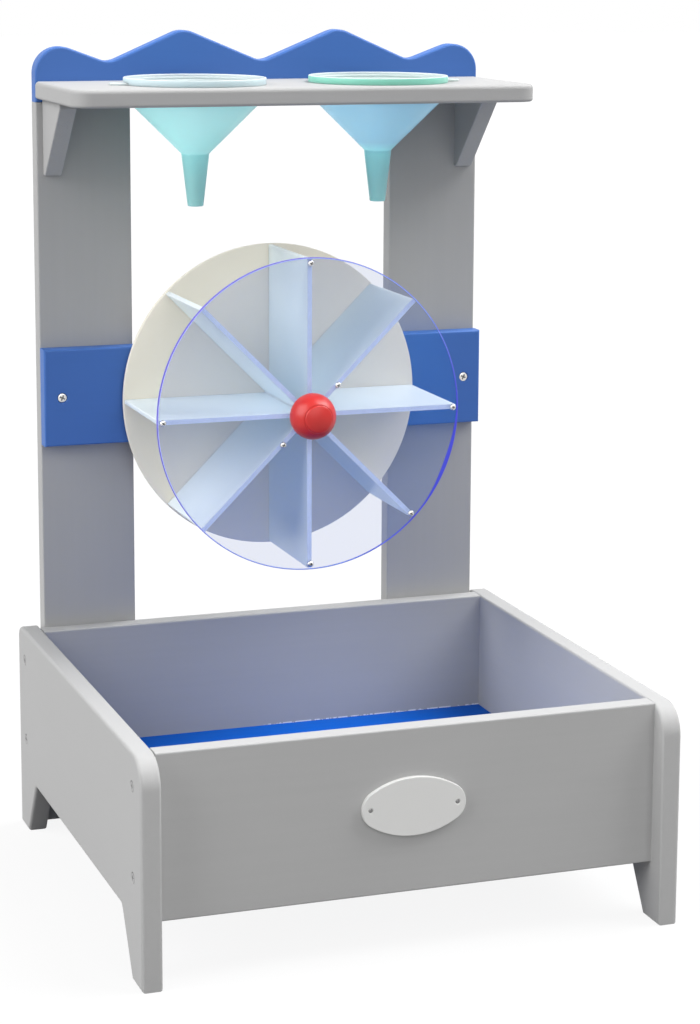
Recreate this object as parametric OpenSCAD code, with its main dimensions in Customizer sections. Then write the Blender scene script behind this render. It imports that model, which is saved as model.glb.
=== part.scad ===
// Sand wheel toy: a wooden tray on four legs, with an upright frame behind it that carries
// a paddle wheel on a fixed axle and a shelf with two loose funnels above the wheel.
// Millimetres. +Z is up, the front faces -Y, and the origin is on the ground at the middle.

/* [Base] */
// Width over the two side panels
base_w = 450; // [400:5:520]
// Depth of the side panels
base_d = 426; // [360:2:500]
// Thickness of the boards of the tray, the uprights, the crossbar and the crest
board_t = 16.5; // [14:0.5:20]
// Height of the side panels
side_h = 183.5; // [160:0.5:220]
// Height of the gap between the legs
leg_gap_h = 50; // [30:1:65]
// Width of a leg at the ground
leg_foot_w = 30; // [20:1:50]
// Width of a leg at the top of the gap
leg_top_w = 61; // [52:1:90]
// Radius of the two upper corners of the gap between the legs
gap_corner_r = 8; // [0:1:15]
// Radius of the front top corner of a side panel
front_corner_r = 25; // [5:1:40]
// Radius of the rear top corner of a side panel
rear_corner_r = 10; // [3:1:25]

/* [Tray] */
// Distance of the front panel behind the front edges of the side panels
front_setback = 17; // [8:1:40]
// Height of the lower edges of the front and back panels
panel_z = 49; // [20:1:60]
// Distance of the panel tops below the side panel tops
panel_drop = 0; // [0:0.5:10]
// Height of the tray floor's upper face above the lower edges of the panels
floor_rise = 28.5; // [26:0.5:60]
// Thickness of the tray floor
floor_t = 10; // [6:0.5:12]
// Side of the square cleats under the tray floor
cleat_w = 14; // [10:0.5:15]

/* [Upright frame] */
// Gap between an upright and the side panel beside it
frame_gap = 3.5; // [1:0.5:15]
// Height of the upright tops above the ground
frame_h = 650; // [590:5:760]
// Width of an upright
upright_w = 84; // [64:1:110]
// Gap between the uprights and the ground
upright_lift = 3; // [0.5:0.5:10]
// Height of the crossbar
crossbar_h = 86; // [60:1:110]
// Distance of the axle below the middle of the crossbar
axle_drop = 5; // [0:0.5:10]
// Distance of a crossbar screw from the end of the crossbar
crossbar_screw_inset = 16; // [10:1:30]

/* [Shelf] */
// Thickness of the shelf and its brackets
shelf_t = 15; // [12:0.5:18]
// Height of the shelf's underside above the upright tops
shelf_rise = 3; // [0:0.5:10]
// Width of wood left in front of and behind a funnel rim
shelf_margin = 11.5; // [6:0.5:30]
// Radius of the front corners of the shelf
shelf_corner_r = 18; // [4:1:40]
// Distance between the two funnels, middle to middle
funnel_spread = 166; // [150:1:200]
// Reach of a shelf bracket in front of the upright
bracket_reach = 65; // [45:1:90]
// Height of a shelf bracket
bracket_h = 66; // [50:1:90]
// Width of the blunt ends of a shelf bracket
bracket_nose = 5; // [2:0.5:10]
// Distance of a shelf bracket from the outer edge of its upright
bracket_inset = 6; // [0:0.5:20]

/* [Crest] */
// Height of the crest's end corners above the uprights, before rounding
crest_end_h = 57.5; // [50:0.5:75]
// Height of the crest's valleys above the uprights, before rounding
crest_valley_h = 33.5; // [25:0.5:40]
// Height of the crest's two peaks above the uprights, before rounding
crest_peak_h = 63; // [55:0.5:80]
// Radius of the crest's end lobes
crest_end_r = 23; // [10:0.5:26]
// Radius of the crest's peaks
crest_peak_r = 22; // [8:0.5:26]
// Radius of the crest's valleys
crest_valley_r = 20; // [8:0.5:30]

/* [Wheel] */
// Diameter of both discs
wheel_d = 272; // [200:2:300]
// Depth of the wheel over both discs
wheel_depth = 117; // [80:1:130]
// Gap between the ends of the funnel spouts and the rim of the wheel
spout_gap = 40; // [10:1:60]
// Thickness of the clear front disc
front_disc_t = 3; // [2:0.5:6]
// Thickness of the rear disc
rear_disc_t = 4; // [3:0.5:8]
// Thickness of a blade
blade_t = 4; // [3.5:0.25:5]
// Distance of a blade's outer edge inside the rim of the discs
blade_inset = 1; // [0.5:0.5:10]
// Distance of the outer front disc screws from the rim
rim_screw_inset = 5; // [4:0.5:20]
// Distance of the inner front disc screws from the axis
hub_screw_r = 35; // [25:1:60]
// Distance of the rear disc screws from the axis
rear_screw_r = 75; // [40:1:95]
// Wall of the hub tube
hub_wall = 1.5; // [1:0.25:4]

/* [Axle] */
// Diameter of the axle in the hub tube
axle_d = 10; // [8:0.5:12]
// Step between the axle and the stud that holds the knob
axle_shoulder = 1; // [0.5:0.25:2]
// End play of the wheel at each end of its hub
axle_play = 0.5; // [0.2:0.1:2]
// Width across the flats of the axle head and nut
axle_hex_w = 17; // [15:0.5:22]
// Height of the axle head
axle_head_h = 6; // [4:0.5:8]
// Thickness of the nut in front of the crossbar
axle_nut_t = 5; // [4.5:0.5:10]
// Depth of the nut's pocket in the front of the crossbar
axle_nut_sink = 2.5; // [1:0.25:3]
// Diameter of the washer behind the crossbar
back_washer_d = 24; // [21:0.5:34]
// Thickness of the washer behind the crossbar
back_washer_t = 2; // [1:0.25:3]
// Diameter of the washer under the knob
knob_washer_d = 22; // [18:0.5:26]
// Thickness of the washer under the knob
knob_washer_t = 1.5; // [1:0.25:3]
// Diameter of the ball knob
knob_d = 40; // [34:0.5:50]
// Distance of the ball's middle in front of its flat back
knob_set = 3.5; // [2:0.5:16]
// Depth of the bore in the knob
knob_bore_l = 16; // [8:0.5:18]

/* [Funnels] */
// Diameter of a funnel rim
rim_d = 122; // [110:1:132]
// Height of a funnel rim above the shelf
rim_h = 6; // [4:0.5:12]
// Width of the rim that rests on the shelf around the hole
rim_seat = 2; // [1.5:0.25:4]
// Gap between a funnel collar and the hole in the shelf
collar_gap = 1; // [0.5:0.25:3]
// Length of the collar below the shelf's upper face
collar_l = 13.5; // [8:0.5:20]
// Length of the cone below the collar
cone_l = 45.5; // [35:0.5:60]
// Length of the spout below the cone
spout_l = 45; // [30:1:60]
// Outer diameter of the neck, where the cone meets the spout
neck_d = 24; // [18:0.5:36]
// Outer diameter of the spout at its end
spout_d = 13.5; // [10:0.5:17]
// Wall of a funnel
funnel_wall = 1.6; // [1:0.1:2.5]
// Height of the step inside a funnel rim, below its top edge
rim_step_h = 2.5; // [1:0.25:3.5]
// Length of a funnel's hanging tab beyond the rim
tab_l = 14; // [8:0.5:20]
// Width of a funnel's hanging tab
tab_w = 16; // [10:0.5:24]
// Thickness of a funnel's hanging tab
tab_t = 2; // [1:0.25:3]
// Diameter of the hole in a hanging tab
tab_hole_d = 6; // [3:0.5:8]

/* [Badge] */
// Width of the oval plate
badge_w = 87; // [70:1:110]
// Height of the oval plate
badge_h = 48; // [40:1:60]
// Radius of the ends of the oval plate
badge_end_r = 16; // [12:0.5:18]
// Thickness of the oval plate
badge_t = 4; // [2:0.5:6]
// Height of the plate's middle above the middle of the front panel
badge_rise = 4; // [-15:1:15]
// Distance between the two pins of the plate
badge_pin_spread = 73; // [50:1:74]
// Diameter of the shank of a plate pin
badge_pin_d = 2.4; // [1.5:0.1:3]
// Diameter of the head of a plate pin
badge_pin_head_d = 4.6; // [3.5:0.1:6]
// Height of the head of a plate pin
badge_pin_head_h = 1.2; // [0.6:0.1:2]
// Depth of a plate pin in the front panel
badge_pin_l = 8; // [4:0.5:10]

/* [Fasteners] */
// Diameter of a wood screw
screw_d = 4; // [3:0.25:5]
// Diameter of the sunk head of a wood screw
screw_head_d = 8; // [6.5:0.25:10]
// Height of the sunk head of a wood screw
screw_head_h = 2.6; // [1.5:0.1:4]
// Depth of a wood screw in the wood behind the board that it holds
screw_grip = 11; // [6:0.5:11.5]
// Depth of a long wood screw in the end of a board
end_grip = 30; // [15:1:40]
// Diameter of a disc screw
disc_screw_d = 2.4; // [1.5:0.1:2.8]
// Diameter of the head of a disc screw
disc_screw_head_d = 5.6; // [4:0.1:7]
// Height of the head of a disc screw
disc_screw_head_h = 2; // [1:0.1:3]
// Depth of a disc screw in the edge of a blade
disc_screw_grip = 12; // [6:0.5:20]
// Diameter of the dowels under the crest
dowel_d = 8; // [5:0.5:9]
// Depth of a dowel in each of its two boards
dowel_l = 15; // [8:0.5:18]

/* [Hidden] */
$fn = 96;

grey = [0.69, 0.69, 0.69];
blue = [0.26, 0.42, 0.71];
floor_blue = [0.11, 0.37, 0.88];
white = [0.93, 0.93, 0.91];
cream = [0.86, 0.84, 0.79];
clear = [0.72, 0.78, 0.95, 0.45];
red = [0.88, 0.22, 0.19];
turquoise = [0.62, 0.89, 0.89];
pale_blue = [0.57, 0.76, 0.86];
zinc = [0.72, 0.72, 0.72];
steel = [0.62, 0.63, 0.65];
beech = [0.82, 0.68, 0.48];

left = -1;
right = 1;
ends = [left, right];

// How far a cut runs past the face that it opens
overrun = 1;
// Radial clearance of a fixed pin or screw in its hole
fit_gap = 0.05;
// Radial clearance of the hub tube on the axle
running_gap = 0.06;

blades = 8;
blade_step = 360 / blades;
// Blade angles whose front screw sits near the rim, and those whose front screw sits near the hub
rim_screw_angles = [0, 90, 180, 270, 315];
hub_screw_angles = [45, 225];
rear_screw_angles = [for (i = [0 : blades - 1]) i * blade_step];

// Places of the crest's peaks and valleys, as shares of half the frame width
crest_peak_share = 0.35;
crest_valley_share = 0.68;
// Heights of the side screws, as shares of the panel height
side_screw_shares = [0.26, 0.8];
upright_screw_shares = [0.2, 0.8];
bracket_screw_shares = [0.52, 0.8];
cleat_screw_shares = [0.12, 0.5, 0.88];
dowel_place_shares = [-0.2, 0.2];
// Sizes of a cross recess, as shares of the screw head
recess_l_share = 0.6;
recess_w_share = 0.17;
recess_depth_share = 0.5;

inner_w = base_w - 2 * board_t;
frame_w = inner_w - 2 * frame_gap;
front_y = front_setback - base_d / 2;
upright_y = base_d / 2 - board_t;
bar_y = upright_y - board_t;
tray_d = bar_y - front_y - board_t;
tray_y = front_y + board_t;
panel_h = side_h - panel_drop - panel_z;
floor_z = panel_z + floor_rise - floor_t;
upright_x = (frame_w - upright_w) / 2;
// The outer shelf screws sit between the two dowels of an upright
shelf_screw_places = [-upright_x, 0, upright_x];

hole_d = rim_d - 2 * rim_seat;
collar_d = hole_d - 2 * collar_gap;
shelf_d = rim_d + 2 * shelf_margin;
shelf_z = frame_h + shelf_rise;
shelf_top = shelf_z + shelf_t;
funnel_y = upright_y - shelf_d / 2;
bracket_x = frame_w / 2 - bracket_inset - shelf_t / 2;

spout_z = shelf_top - collar_l - cone_l - spout_l;
axle_z = spout_z - spout_gap - wheel_d / 2;
crossbar_z = axle_z + axle_drop - crossbar_h / 2;
nut_y = bar_y + axle_nut_sink;
hub_back_y = nut_y - axle_nut_t - axle_play;
wheel_back_y = hub_back_y - axle_play;
wheel_front_y = wheel_back_y - wheel_depth;
hub_front_y = wheel_front_y - axle_play;
stud_y = hub_front_y - axle_play;
knob_y = stud_y - knob_washer_t;
stud_d = axle_d - 2 * axle_shoulder;
hub_bore_d = axle_d + 2 * running_gap;
hub_d = hub_bore_d + 2 * hub_wall;
blade_l = wheel_depth - front_disc_t - rear_disc_t;
rim_screw_r = wheel_d / 2 - rim_screw_inset;
through_l = board_t + screw_grip;
long_l = board_t + end_grip;

// Corner geometry of an outline: neighbours, tangent points and the middle of the corner's arc
function toward(a, b) = (b - a) / norm(b - a);
function before(points, i) = points[(i + len(points) - 1) % len(points)];
function after(points, i) = points[(i + 1) % len(points)];
function half_angle(points, i) =
    acos(toward(points[i], before(points, i)) * toward(points[i], after(points, i))) / 2;
function reach(points, radii, i) = radii[i] / tan(half_angle(points, i));
function corner_ends(points, radii, i) = radii[i] == 0 ? [points[i]] : [
    points[i] + reach(points, radii, i) * toward(points[i], before(points, i)),
    points[i] + reach(points, radii, i) * toward(points[i], after(points, i))
];
function arc_middle(points, radii, i) = points[i] + radii[i] / sin(half_angle(points, i))
    * toward([0, 0], toward(points[i], before(points, i)) + toward(points[i], after(points, i)));
function turns_left(points, i) =
    cross(points[i] - before(points, i), after(points, i) - points[i]) > 0;

// Flat outline with a true arc at each corner that has a radius, its points counterclockwise
module rounded_outline(points, radii) {
    corners = [for (i = [0 : len(points) - 1]) if (radii[i] > 0) i];
    difference() {
        union() {
            polygon([for (i = [0 : len(points) - 1]) each corner_ends(points, radii, i)]);
            for (i = corners)
                if (turns_left(points, i))
                    translate(arc_middle(points, radii, i)) circle(r = radii[i]);
        }
        for (i = corners)
            if (!turns_left(points, i))
                translate(arc_middle(points, radii, i)) circle(r = radii[i]);
    }
}

// Oval of four arcs: two ends and two long sides that run into them smoothly
module oval(width, height, end_r) {
    half_w = width / 2;
    half_h = height / 2;
    end_x = half_w - end_r;
    side_r = (end_x * end_x + half_h * half_h - end_r * end_r) / (2 * (half_h - end_r));
    join_x = side_r * end_x / (side_r - end_r);
    for (end = ends)
        translate([end * end_x, 0]) circle(r = end_r);
    intersection() {
        translate([0, half_h - side_r]) circle(r = side_r);
        translate([0, side_r - half_h]) circle(r = side_r);
        square([2 * join_x, height], center = true);
    }
}

// Turns what is drawn along Z to face the front, the back or one side
module facing_front() rotate([90, 0, 0]) children();
module facing_back() rotate([-90, 0, 0]) children();
module facing_side(side) rotate([0, side * 90, 0]) children();
// Turns a flat outline of depth and height into a board that is thick along X
module board_across(thickness) rotate([90, 0, 90]) linear_extrude(thickness) children();
module at_axle(y) translate([0, y, axle_z]) children();

// Six-sided prism, measured across its flats
module hexagon(height, flats_w) cylinder(h = height, d = flats_w / cos(30), $fn = 6);

module cross_recess(head_d, top_z) {
    depth = head_d * recess_depth_share / 2;
    for (turn = [0, 90])
        rotate([0, 0, turn])
            translate([-head_d * recess_l_share / 2, -head_d * recess_w_share / 2, top_z - depth])
                cube([head_d * recess_l_share, head_d * recess_w_share, depth + overrun]);
}

// Wood screw with its sunk head's face at zero and its shank pointing down
module wood_screw(length) {
    difference() {
        union() {
            translate([0, 0, -screw_head_h])
                cylinder(h = screw_head_h, d1 = screw_d, d2 = screw_head_d);
            translate([0, 0, -length]) cylinder(h = length - screw_head_h, d = screw_d);
        }
        cross_recess(screw_head_d, 0);
    }
}

module wood_screw_hole(length) {
    translate([0, 0, -screw_head_h])
        cylinder(h = screw_head_h, d1 = screw_d + 2 * fit_gap, d2 = screw_head_d + 2 * fit_gap);
    translate([0, 0, -length - fit_gap]) cylinder(h = length, d = screw_d + 2 * fit_gap);
    cylinder(h = overrun, d = screw_head_d + 2 * fit_gap);
}

// Disc screw with its raised head on zero and its shank pointing down
module disc_screw(length) {
    difference() {
        union() {
            cylinder(
                h = disc_screw_head_h,
                d1 = disc_screw_head_d,
                d2 = disc_screw_head_d - disc_screw_head_h
            );
            translate([0, 0, -length]) cylinder(h = length, d = disc_screw_d);
        }
        cross_recess(disc_screw_head_d, disc_screw_head_h);
    }
}

module disc_screw_hole(length) {
    translate([0, 0, -length - fit_gap])
        cylinder(h = length + fit_gap + overrun, d = disc_screw_d + 2 * fit_gap);
}

// Places of the fasteners
module at_front_disc(angles, radius) {
    for (angle = angles)
        translate([radius * cos(angle), wheel_front_y, axle_z + radius * sin(angle)])
            facing_front() children();
}

module at_front_disc_screws() {
    at_front_disc(rim_screw_angles, rim_screw_r) children();
    at_front_disc(hub_screw_angles, hub_screw_r) children();
}

module at_rear_disc_screws() {
    for (angle = rear_screw_angles)
        translate([rear_screw_r * cos(angle), wheel_back_y, axle_z + rear_screw_r * sin(angle)])
            facing_back() children();
}

module at_crossbar_screws() {
    for (end = ends)
        translate([end * (frame_w / 2 - crossbar_screw_inset), bar_y, crossbar_z + crossbar_h / 2])
            facing_front() children();
}

module at_side_screws(side) {
    for (y = [front_y, bar_y], share = side_screw_shares)
        translate([side * base_w / 2, y + board_t / 2, panel_z + share * panel_h])
            facing_side(side) children();
}

module at_cleat_screws(side) {
    for (share = cleat_screw_shares)
        translate([side * (inner_w / 2 - cleat_w), tray_y + share * tray_d, floor_z - cleat_w / 2])
            facing_side(-side) children();
}

module at_upright_screws() {
    for (end = ends, share = upright_screw_shares)
        translate([end * upright_x, base_d / 2, panel_z + share * panel_h])
            facing_back() children();
}

module at_bracket_screws() {
    for (end = ends, share = bracket_screw_shares)
        translate([end * bracket_x, base_d / 2, shelf_z - bracket_h + share * bracket_h])
            facing_back() children();
}

module at_shelf_screws() {
    for (x = shelf_screw_places)
        translate([x, base_d / 2, shelf_z + shelf_t / 2])
            facing_back() children();
}

module at_crest_dowels() {
    for (end = ends, share = dowel_place_shares)
        translate([end * upright_x + share * upright_w, upright_y + board_t / 2, frame_h])
            children();
}

module dowel_hole() {
    cylinder(h = 2 * (dowel_l + fit_gap), d = dowel_d + 2 * fit_gap, center = true);
}

// Tray
module side_panel(side) {
    color(grey) difference() {
        translate([side * base_w / 2 - (side > 0 ? board_t : 0), 0, 0])
            board_across(board_t) rounded_outline(
                [
                    [-base_d / 2, 0],
                    [leg_foot_w - base_d / 2, 0],
                    [leg_top_w - base_d / 2, leg_gap_h],
                    [base_d / 2 - leg_top_w, leg_gap_h],
                    [base_d / 2 - leg_foot_w, 0],
                    [base_d / 2, 0],
                    [base_d / 2, side_h],
                    [-base_d / 2, side_h]
                ],
                [0, 0, gap_corner_r, gap_corner_r, 0, 0, rear_corner_r, front_corner_r]
            );
        at_side_screws(side) wood_screw_hole(long_l);
        at_cleat_screws(side) wood_screw_hole(cleat_w + screw_grip);
    }
}

module left_side_panel() side_panel(left);
module right_side_panel() side_panel(right);

module tray_board(y) {
    difference() {
        translate([-inner_w / 2, y, panel_z]) cube([inner_w, board_t, panel_h]);
        for (side = ends)
            at_side_screws(side) wood_screw_hole(long_l);
    }
}

module front_panel() {
    color(grey) difference() {
        tray_board(front_y);
        at_badge_pins() badge_pin_hole();
    }
}

module back_panel() {
    color(grey) difference() {
        tray_board(bar_y);
        at_upright_screws() wood_screw_hole(through_l);
    }
}

module floor_panel() {
    color(floor_blue) translate([-inner_w / 2, tray_y, floor_z]) cube([inner_w, tray_d, floor_t]);
}

module cleat(side) {
    color(grey) difference() {
        translate([side * (inner_w - cleat_w) / 2, tray_y + tray_d / 2, floor_z - cleat_w / 2])
            cube([cleat_w, tray_d, cleat_w], center = true);
        at_cleat_screws(side) wood_screw_hole(cleat_w + screw_grip);
    }
}

module left_cleat() cleat(left);
module right_cleat() cleat(right);

// Badge plate and its pins
module at_badge(y) translate([0, y, panel_z + panel_h / 2 + badge_rise]) facing_front() children();

module at_badge_pins() {
    for (end = ends)
        at_badge(front_y - badge_t) translate([end * badge_pin_spread / 2, 0, 0]) children();
}

module badge_pin_hole() {
    translate([0, 0, -badge_t - badge_pin_l - fit_gap])
        cylinder(h = badge_t + badge_pin_l + fit_gap + overrun, d = badge_pin_d + 2 * fit_gap);
}

module badge_plate() {
    color(white) difference() {
        at_badge(front_y) linear_extrude(badge_t) oval(badge_w, badge_h, badge_end_r);
        at_badge_pins() badge_pin_hole();
    }
}

module badge_pins() {
    color(zinc) at_badge_pins() {
        cylinder(
            h = badge_pin_head_h,
            d1 = badge_pin_head_d,
            d2 = badge_pin_head_d - badge_pin_head_h
        );
        translate([0, 0, -badge_t - badge_pin_l]) cylinder(h = badge_t + badge_pin_l, d = badge_pin_d);
    }
}

// Upright frame
module upright(side) {
    color(grey) difference() {
        translate([side * upright_x - upright_w / 2, upright_y, upright_lift])
            cube([upright_w, board_t, frame_h - upright_lift]);
        at_crossbar_screws() wood_screw_hole(through_l);
        at_upright_screws() wood_screw_hole(through_l);
        at_bracket_screws() wood_screw_hole(through_l);
        at_crest_dowels() dowel_hole();
    }
}

module left_upright() upright(left);
module right_upright() upright(right);

module crossbar() {
    color(blue) difference() {
        translate([-frame_w / 2, bar_y, crossbar_z]) cube([frame_w, board_t, crossbar_h]);
        at_crossbar_screws() wood_screw_hole(through_l);
        at_axle(bar_y - overrun) facing_back()
            cylinder(h = board_t + 2 * overrun, d = axle_d + 2 * fit_gap);
        at_axle(bar_y - overrun) facing_back()
            hexagon(axle_nut_sink + overrun, axle_hex_w + 2 * fit_gap);
    }
}

module shelf() {
    color(grey) difference() {
        translate([0, 0, shelf_z]) linear_extrude(shelf_t) rounded_outline(
            [
                [-frame_w / 2, upright_y - shelf_d],
                [frame_w / 2, upright_y - shelf_d],
                [frame_w / 2, upright_y],
                [-frame_w / 2, upright_y]
            ],
            [shelf_corner_r, shelf_corner_r, 0, 0]
        );
        for (side = ends)
            translate([side * funnel_spread / 2, funnel_y, shelf_z - overrun])
                cylinder(h = shelf_t + 2 * overrun, d = hole_d);
        at_shelf_screws() wood_screw_hole(long_l);
    }
}

module bracket(side) {
    color(grey) difference() {
        translate([side * bracket_x - shelf_t / 2, upright_y, shelf_z])
            board_across(shelf_t) polygon([
                [0, 0],
                [-bracket_reach, 0],
                [-bracket_reach, -bracket_nose],
                [-bracket_nose, -bracket_h],
                [0, -bracket_h]
            ]);
        at_bracket_screws() wood_screw_hole(through_l);
    }
}

module left_bracket() bracket(left);
module right_bracket() bracket(right);

module crest() {
    half_w = frame_w / 2;
    peak_x = half_w * crest_peak_share;
    valley_x = half_w * crest_valley_share;
    color(blue) difference() {
        translate([0, base_d / 2, frame_h]) facing_front() linear_extrude(board_t) rounded_outline(
            [
                [-half_w, 0],
                [half_w, 0],
                [half_w, crest_end_h],
                [valley_x, crest_valley_h],
                [peak_x, crest_peak_h],
                [0, crest_valley_h],
                [-peak_x, crest_peak_h],
                [-valley_x, crest_valley_h],
                [-half_w, crest_end_h]
            ],
            [
                0, 0, crest_end_r, crest_valley_r, crest_peak_r, crest_valley_r, crest_peak_r,
                crest_valley_r, crest_end_r
            ]
        );
        at_shelf_screws() wood_screw_hole(long_l);
        at_crest_dowels() dowel_hole();
    }
}

// Axle and knob, fixed to the crossbar
module axle_bolt() {
    color(steel) {
        at_axle(upright_y + back_washer_t) facing_back() hexagon(axle_head_h, axle_hex_w);
        at_axle(stud_y) facing_back()
            cylinder(h = upright_y + back_washer_t - stud_y, d = axle_d);
        at_axle(knob_y - knob_bore_l + fit_gap) facing_back()
            cylinder(h = knob_washer_t + knob_bore_l - fit_gap, d = stud_d);
    }
}

module ring(height, outer_d, bore_d) {
    difference() {
        cylinder(h = height, d = outer_d);
        translate([0, 0, -overrun]) cylinder(h = height + 2 * overrun, d = bore_d);
    }
}

module back_washer() {
    color(zinc) at_axle(upright_y) facing_back()
        ring(back_washer_t, back_washer_d, axle_d + 2 * fit_gap);
}

module axle_nut() {
    color(zinc) difference() {
        at_axle(nut_y) facing_front() hexagon(axle_nut_t, axle_hex_w);
        at_axle(nut_y + overrun) facing_front()
            cylinder(h = axle_nut_t + 2 * overrun, d = axle_d + 2 * fit_gap);
    }
}

module knob_washer() {
    color(zinc) at_axle(stud_y) facing_front()
        ring(knob_washer_t, knob_washer_d, stud_d + 2 * fit_gap);
}

module ball_knob() {
    color(red) at_axle(knob_y) facing_front() difference() {
        intersection() {
            translate([0, 0, knob_set]) sphere(d = knob_d);
            cylinder(h = knob_set + knob_d, d = knob_d + 2 * overrun);
        }
        translate([0, 0, -overrun]) cylinder(h = knob_bore_l + overrun, d = stud_d + 2 * fit_gap);
    }
}

// Wheel, which turns on the axle
module hub_hole() {
    at_axle(wheel_back_y + overrun) facing_front()
        cylinder(h = wheel_depth + 2 * overrun, d = hub_d + 2 * fit_gap);
}

module rear_disc() {
    color(cream) difference() {
        at_axle(wheel_back_y) facing_front() cylinder(h = rear_disc_t, d = wheel_d);
        hub_hole();
        at_rear_disc_screws() disc_screw_hole(rear_disc_t + disc_screw_grip);
    }
}

module front_disc() {
    color(clear) difference() {
        at_axle(wheel_front_y) facing_back() cylinder(h = front_disc_t, d = wheel_d);
        hub_hole();
        at_front_disc_screws() disc_screw_hole(front_disc_t + disc_screw_grip);
    }
}

module hub_tube() {
    color(white) at_axle(hub_back_y) facing_front()
        ring(hub_back_y - hub_front_y, hub_d, hub_bore_d);
}

module blade(number) {
    color(white) difference() {
        at_axle(wheel_front_y + front_disc_t)
            rotate([0, -(number - 1) * blade_step, 0])
                translate([0, 0, -blade_t / 2])
                    cube([wheel_d / 2 - blade_inset, blade_l, blade_t]);
        hub_hole();
        at_front_disc_screws() disc_screw_hole(front_disc_t + disc_screw_grip);
        at_rear_disc_screws() disc_screw_hole(rear_disc_t + disc_screw_grip);
    }
}

module front_disc_screws() {
    color(zinc) at_front_disc_screws() disc_screw(front_disc_t + disc_screw_grip);
}

module rear_disc_screws() {
    color(zinc) at_rear_disc_screws() disc_screw(rear_disc_t + disc_screw_grip);
}

// Funnels, which lie loose in the shelf with the rim on its upper face and the tab at the side
module funnel(side) {
    collar_r = collar_d / 2;
    collar_end = -collar_l;
    neck_end = collar_end - cone_l;
    spout_end = neck_end - spout_l;
    tab_root = rim_d / 2 - funnel_wall;
    tab_end = rim_d / 2 + tab_l - tab_w / 2;
    translate([side * funnel_spread / 2, funnel_y, shelf_top]) {
        rotate_extrude() polygon([
            [collar_r - funnel_wall, 0],
            [collar_r - funnel_wall, collar_end],
            [neck_d / 2 - funnel_wall, neck_end],
            [spout_d / 2 - funnel_wall, spout_end],
            [spout_d / 2, spout_end],
            [neck_d / 2, neck_end],
            [collar_r, collar_end],
            [collar_r, 0],
            [rim_d / 2, 0],
            [rim_d / 2, rim_h],
            [rim_d / 2 - funnel_wall, rim_h],
            [rim_d / 2 - funnel_wall, rim_h - rim_step_h],
            [collar_r - funnel_wall, rim_h - rim_step_h]
        ]);
        difference() {
            union() {
                translate([side * (tab_root + tab_end) / 2, 0, tab_t / 2])
                    cube([tab_end - tab_root, tab_w, tab_t], center = true);
                translate([side * tab_end, 0, 0]) cylinder(h = tab_t, d = tab_w);
            }
            translate([side * tab_end, 0, -overrun])
                cylinder(h = tab_t + 2 * overrun, d = tab_hole_d);
        }
    }
}

module left_funnel() color(turquoise) funnel(left);
module right_funnel() color(pale_blue) funnel(right);

// Fasteners of the frame
module crossbar_screws() color(zinc) at_crossbar_screws() wood_screw(through_l);
module left_side_screws() color(grey) at_side_screws(left) wood_screw(long_l);
module right_side_screws() color(grey) at_side_screws(right) wood_screw(long_l);
module cleat_screws() {
    color(zinc)
        for (side = ends)
            at_cleat_screws(side) wood_screw(cleat_w + screw_grip);
}
module upright_screws() color(zinc) at_upright_screws() wood_screw(through_l);
module bracket_screws() color(zinc) at_bracket_screws() wood_screw(through_l);
module shelf_screws() color(zinc) at_shelf_screws() wood_screw(long_l);
module crest_dowels() {
    color(beech) at_crest_dowels() cylinder(h = 2 * dowel_l, d = dowel_d, center = true);
}

left_side_panel();
right_side_panel();
front_panel();
back_panel();
floor_panel();
left_cleat();
right_cleat();
left_upright();
right_upright();
crossbar();
shelf();
left_bracket();
right_bracket();
crest();
badge_plate();
badge_pins();
axle_bolt();
back_washer();
axle_nut();
knob_washer();
ball_knob();
rear_disc();
front_disc();
hub_tube();
blade(1);  // blade_1
blade(2);  // blade_2
blade(3);  // blade_3
blade(4);  // blade_4
blade(5);  // blade_5
blade(6);  // blade_6
blade(7);  // blade_7
blade(8);  // blade_8
front_disc_screws();
rear_disc_screws();
left_funnel();
right_funnel();
crossbar_screws();
left_side_screws();
right_side_screws();
cleat_screws();
upright_screws();
bracket_screws();
shelf_screws();
crest_dowels();
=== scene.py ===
"""Looks of the sand wheel toy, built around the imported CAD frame.

Lengths of the meshes are in millimetres until a place function turns them into the frame's metres.
Those of the camera, the materials and the floor are in metres.
"""
import math

import bmesh
import bpy
from mathutils import Matrix, Vector


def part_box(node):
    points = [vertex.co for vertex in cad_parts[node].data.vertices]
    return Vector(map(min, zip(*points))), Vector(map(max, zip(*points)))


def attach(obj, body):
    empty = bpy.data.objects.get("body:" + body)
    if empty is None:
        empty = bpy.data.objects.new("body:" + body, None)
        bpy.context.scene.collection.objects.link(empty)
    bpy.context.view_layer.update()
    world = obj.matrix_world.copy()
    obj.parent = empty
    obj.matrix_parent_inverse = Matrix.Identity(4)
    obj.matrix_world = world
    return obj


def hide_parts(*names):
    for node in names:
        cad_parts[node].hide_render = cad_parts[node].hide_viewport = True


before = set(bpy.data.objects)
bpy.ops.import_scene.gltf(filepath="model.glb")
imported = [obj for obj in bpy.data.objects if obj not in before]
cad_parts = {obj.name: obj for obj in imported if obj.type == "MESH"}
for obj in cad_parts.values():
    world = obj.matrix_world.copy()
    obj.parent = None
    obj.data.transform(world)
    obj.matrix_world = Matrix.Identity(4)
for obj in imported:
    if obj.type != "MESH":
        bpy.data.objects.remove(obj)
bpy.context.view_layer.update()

MM = 0.001
SIDES = {"left": -1, "right": 1}
X, Y, Z = range(3)


# Camera of the photograph, in pixels of its image and in the frame's metres
IMAGE_W, IMAGE_H = 700, 1024
SENSOR = 36
FOCAL_PX = 2625.1
PRINCIPAL_X, PRINCIPAL_Y = 381, 414.45
CAMERA_AT = (-0.70307, -2.04521, 0.78615)
CAMERA_YAW, CAMERA_PITCH, CAMERA_ROLL = 20.03, 10.15, 0.38


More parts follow.
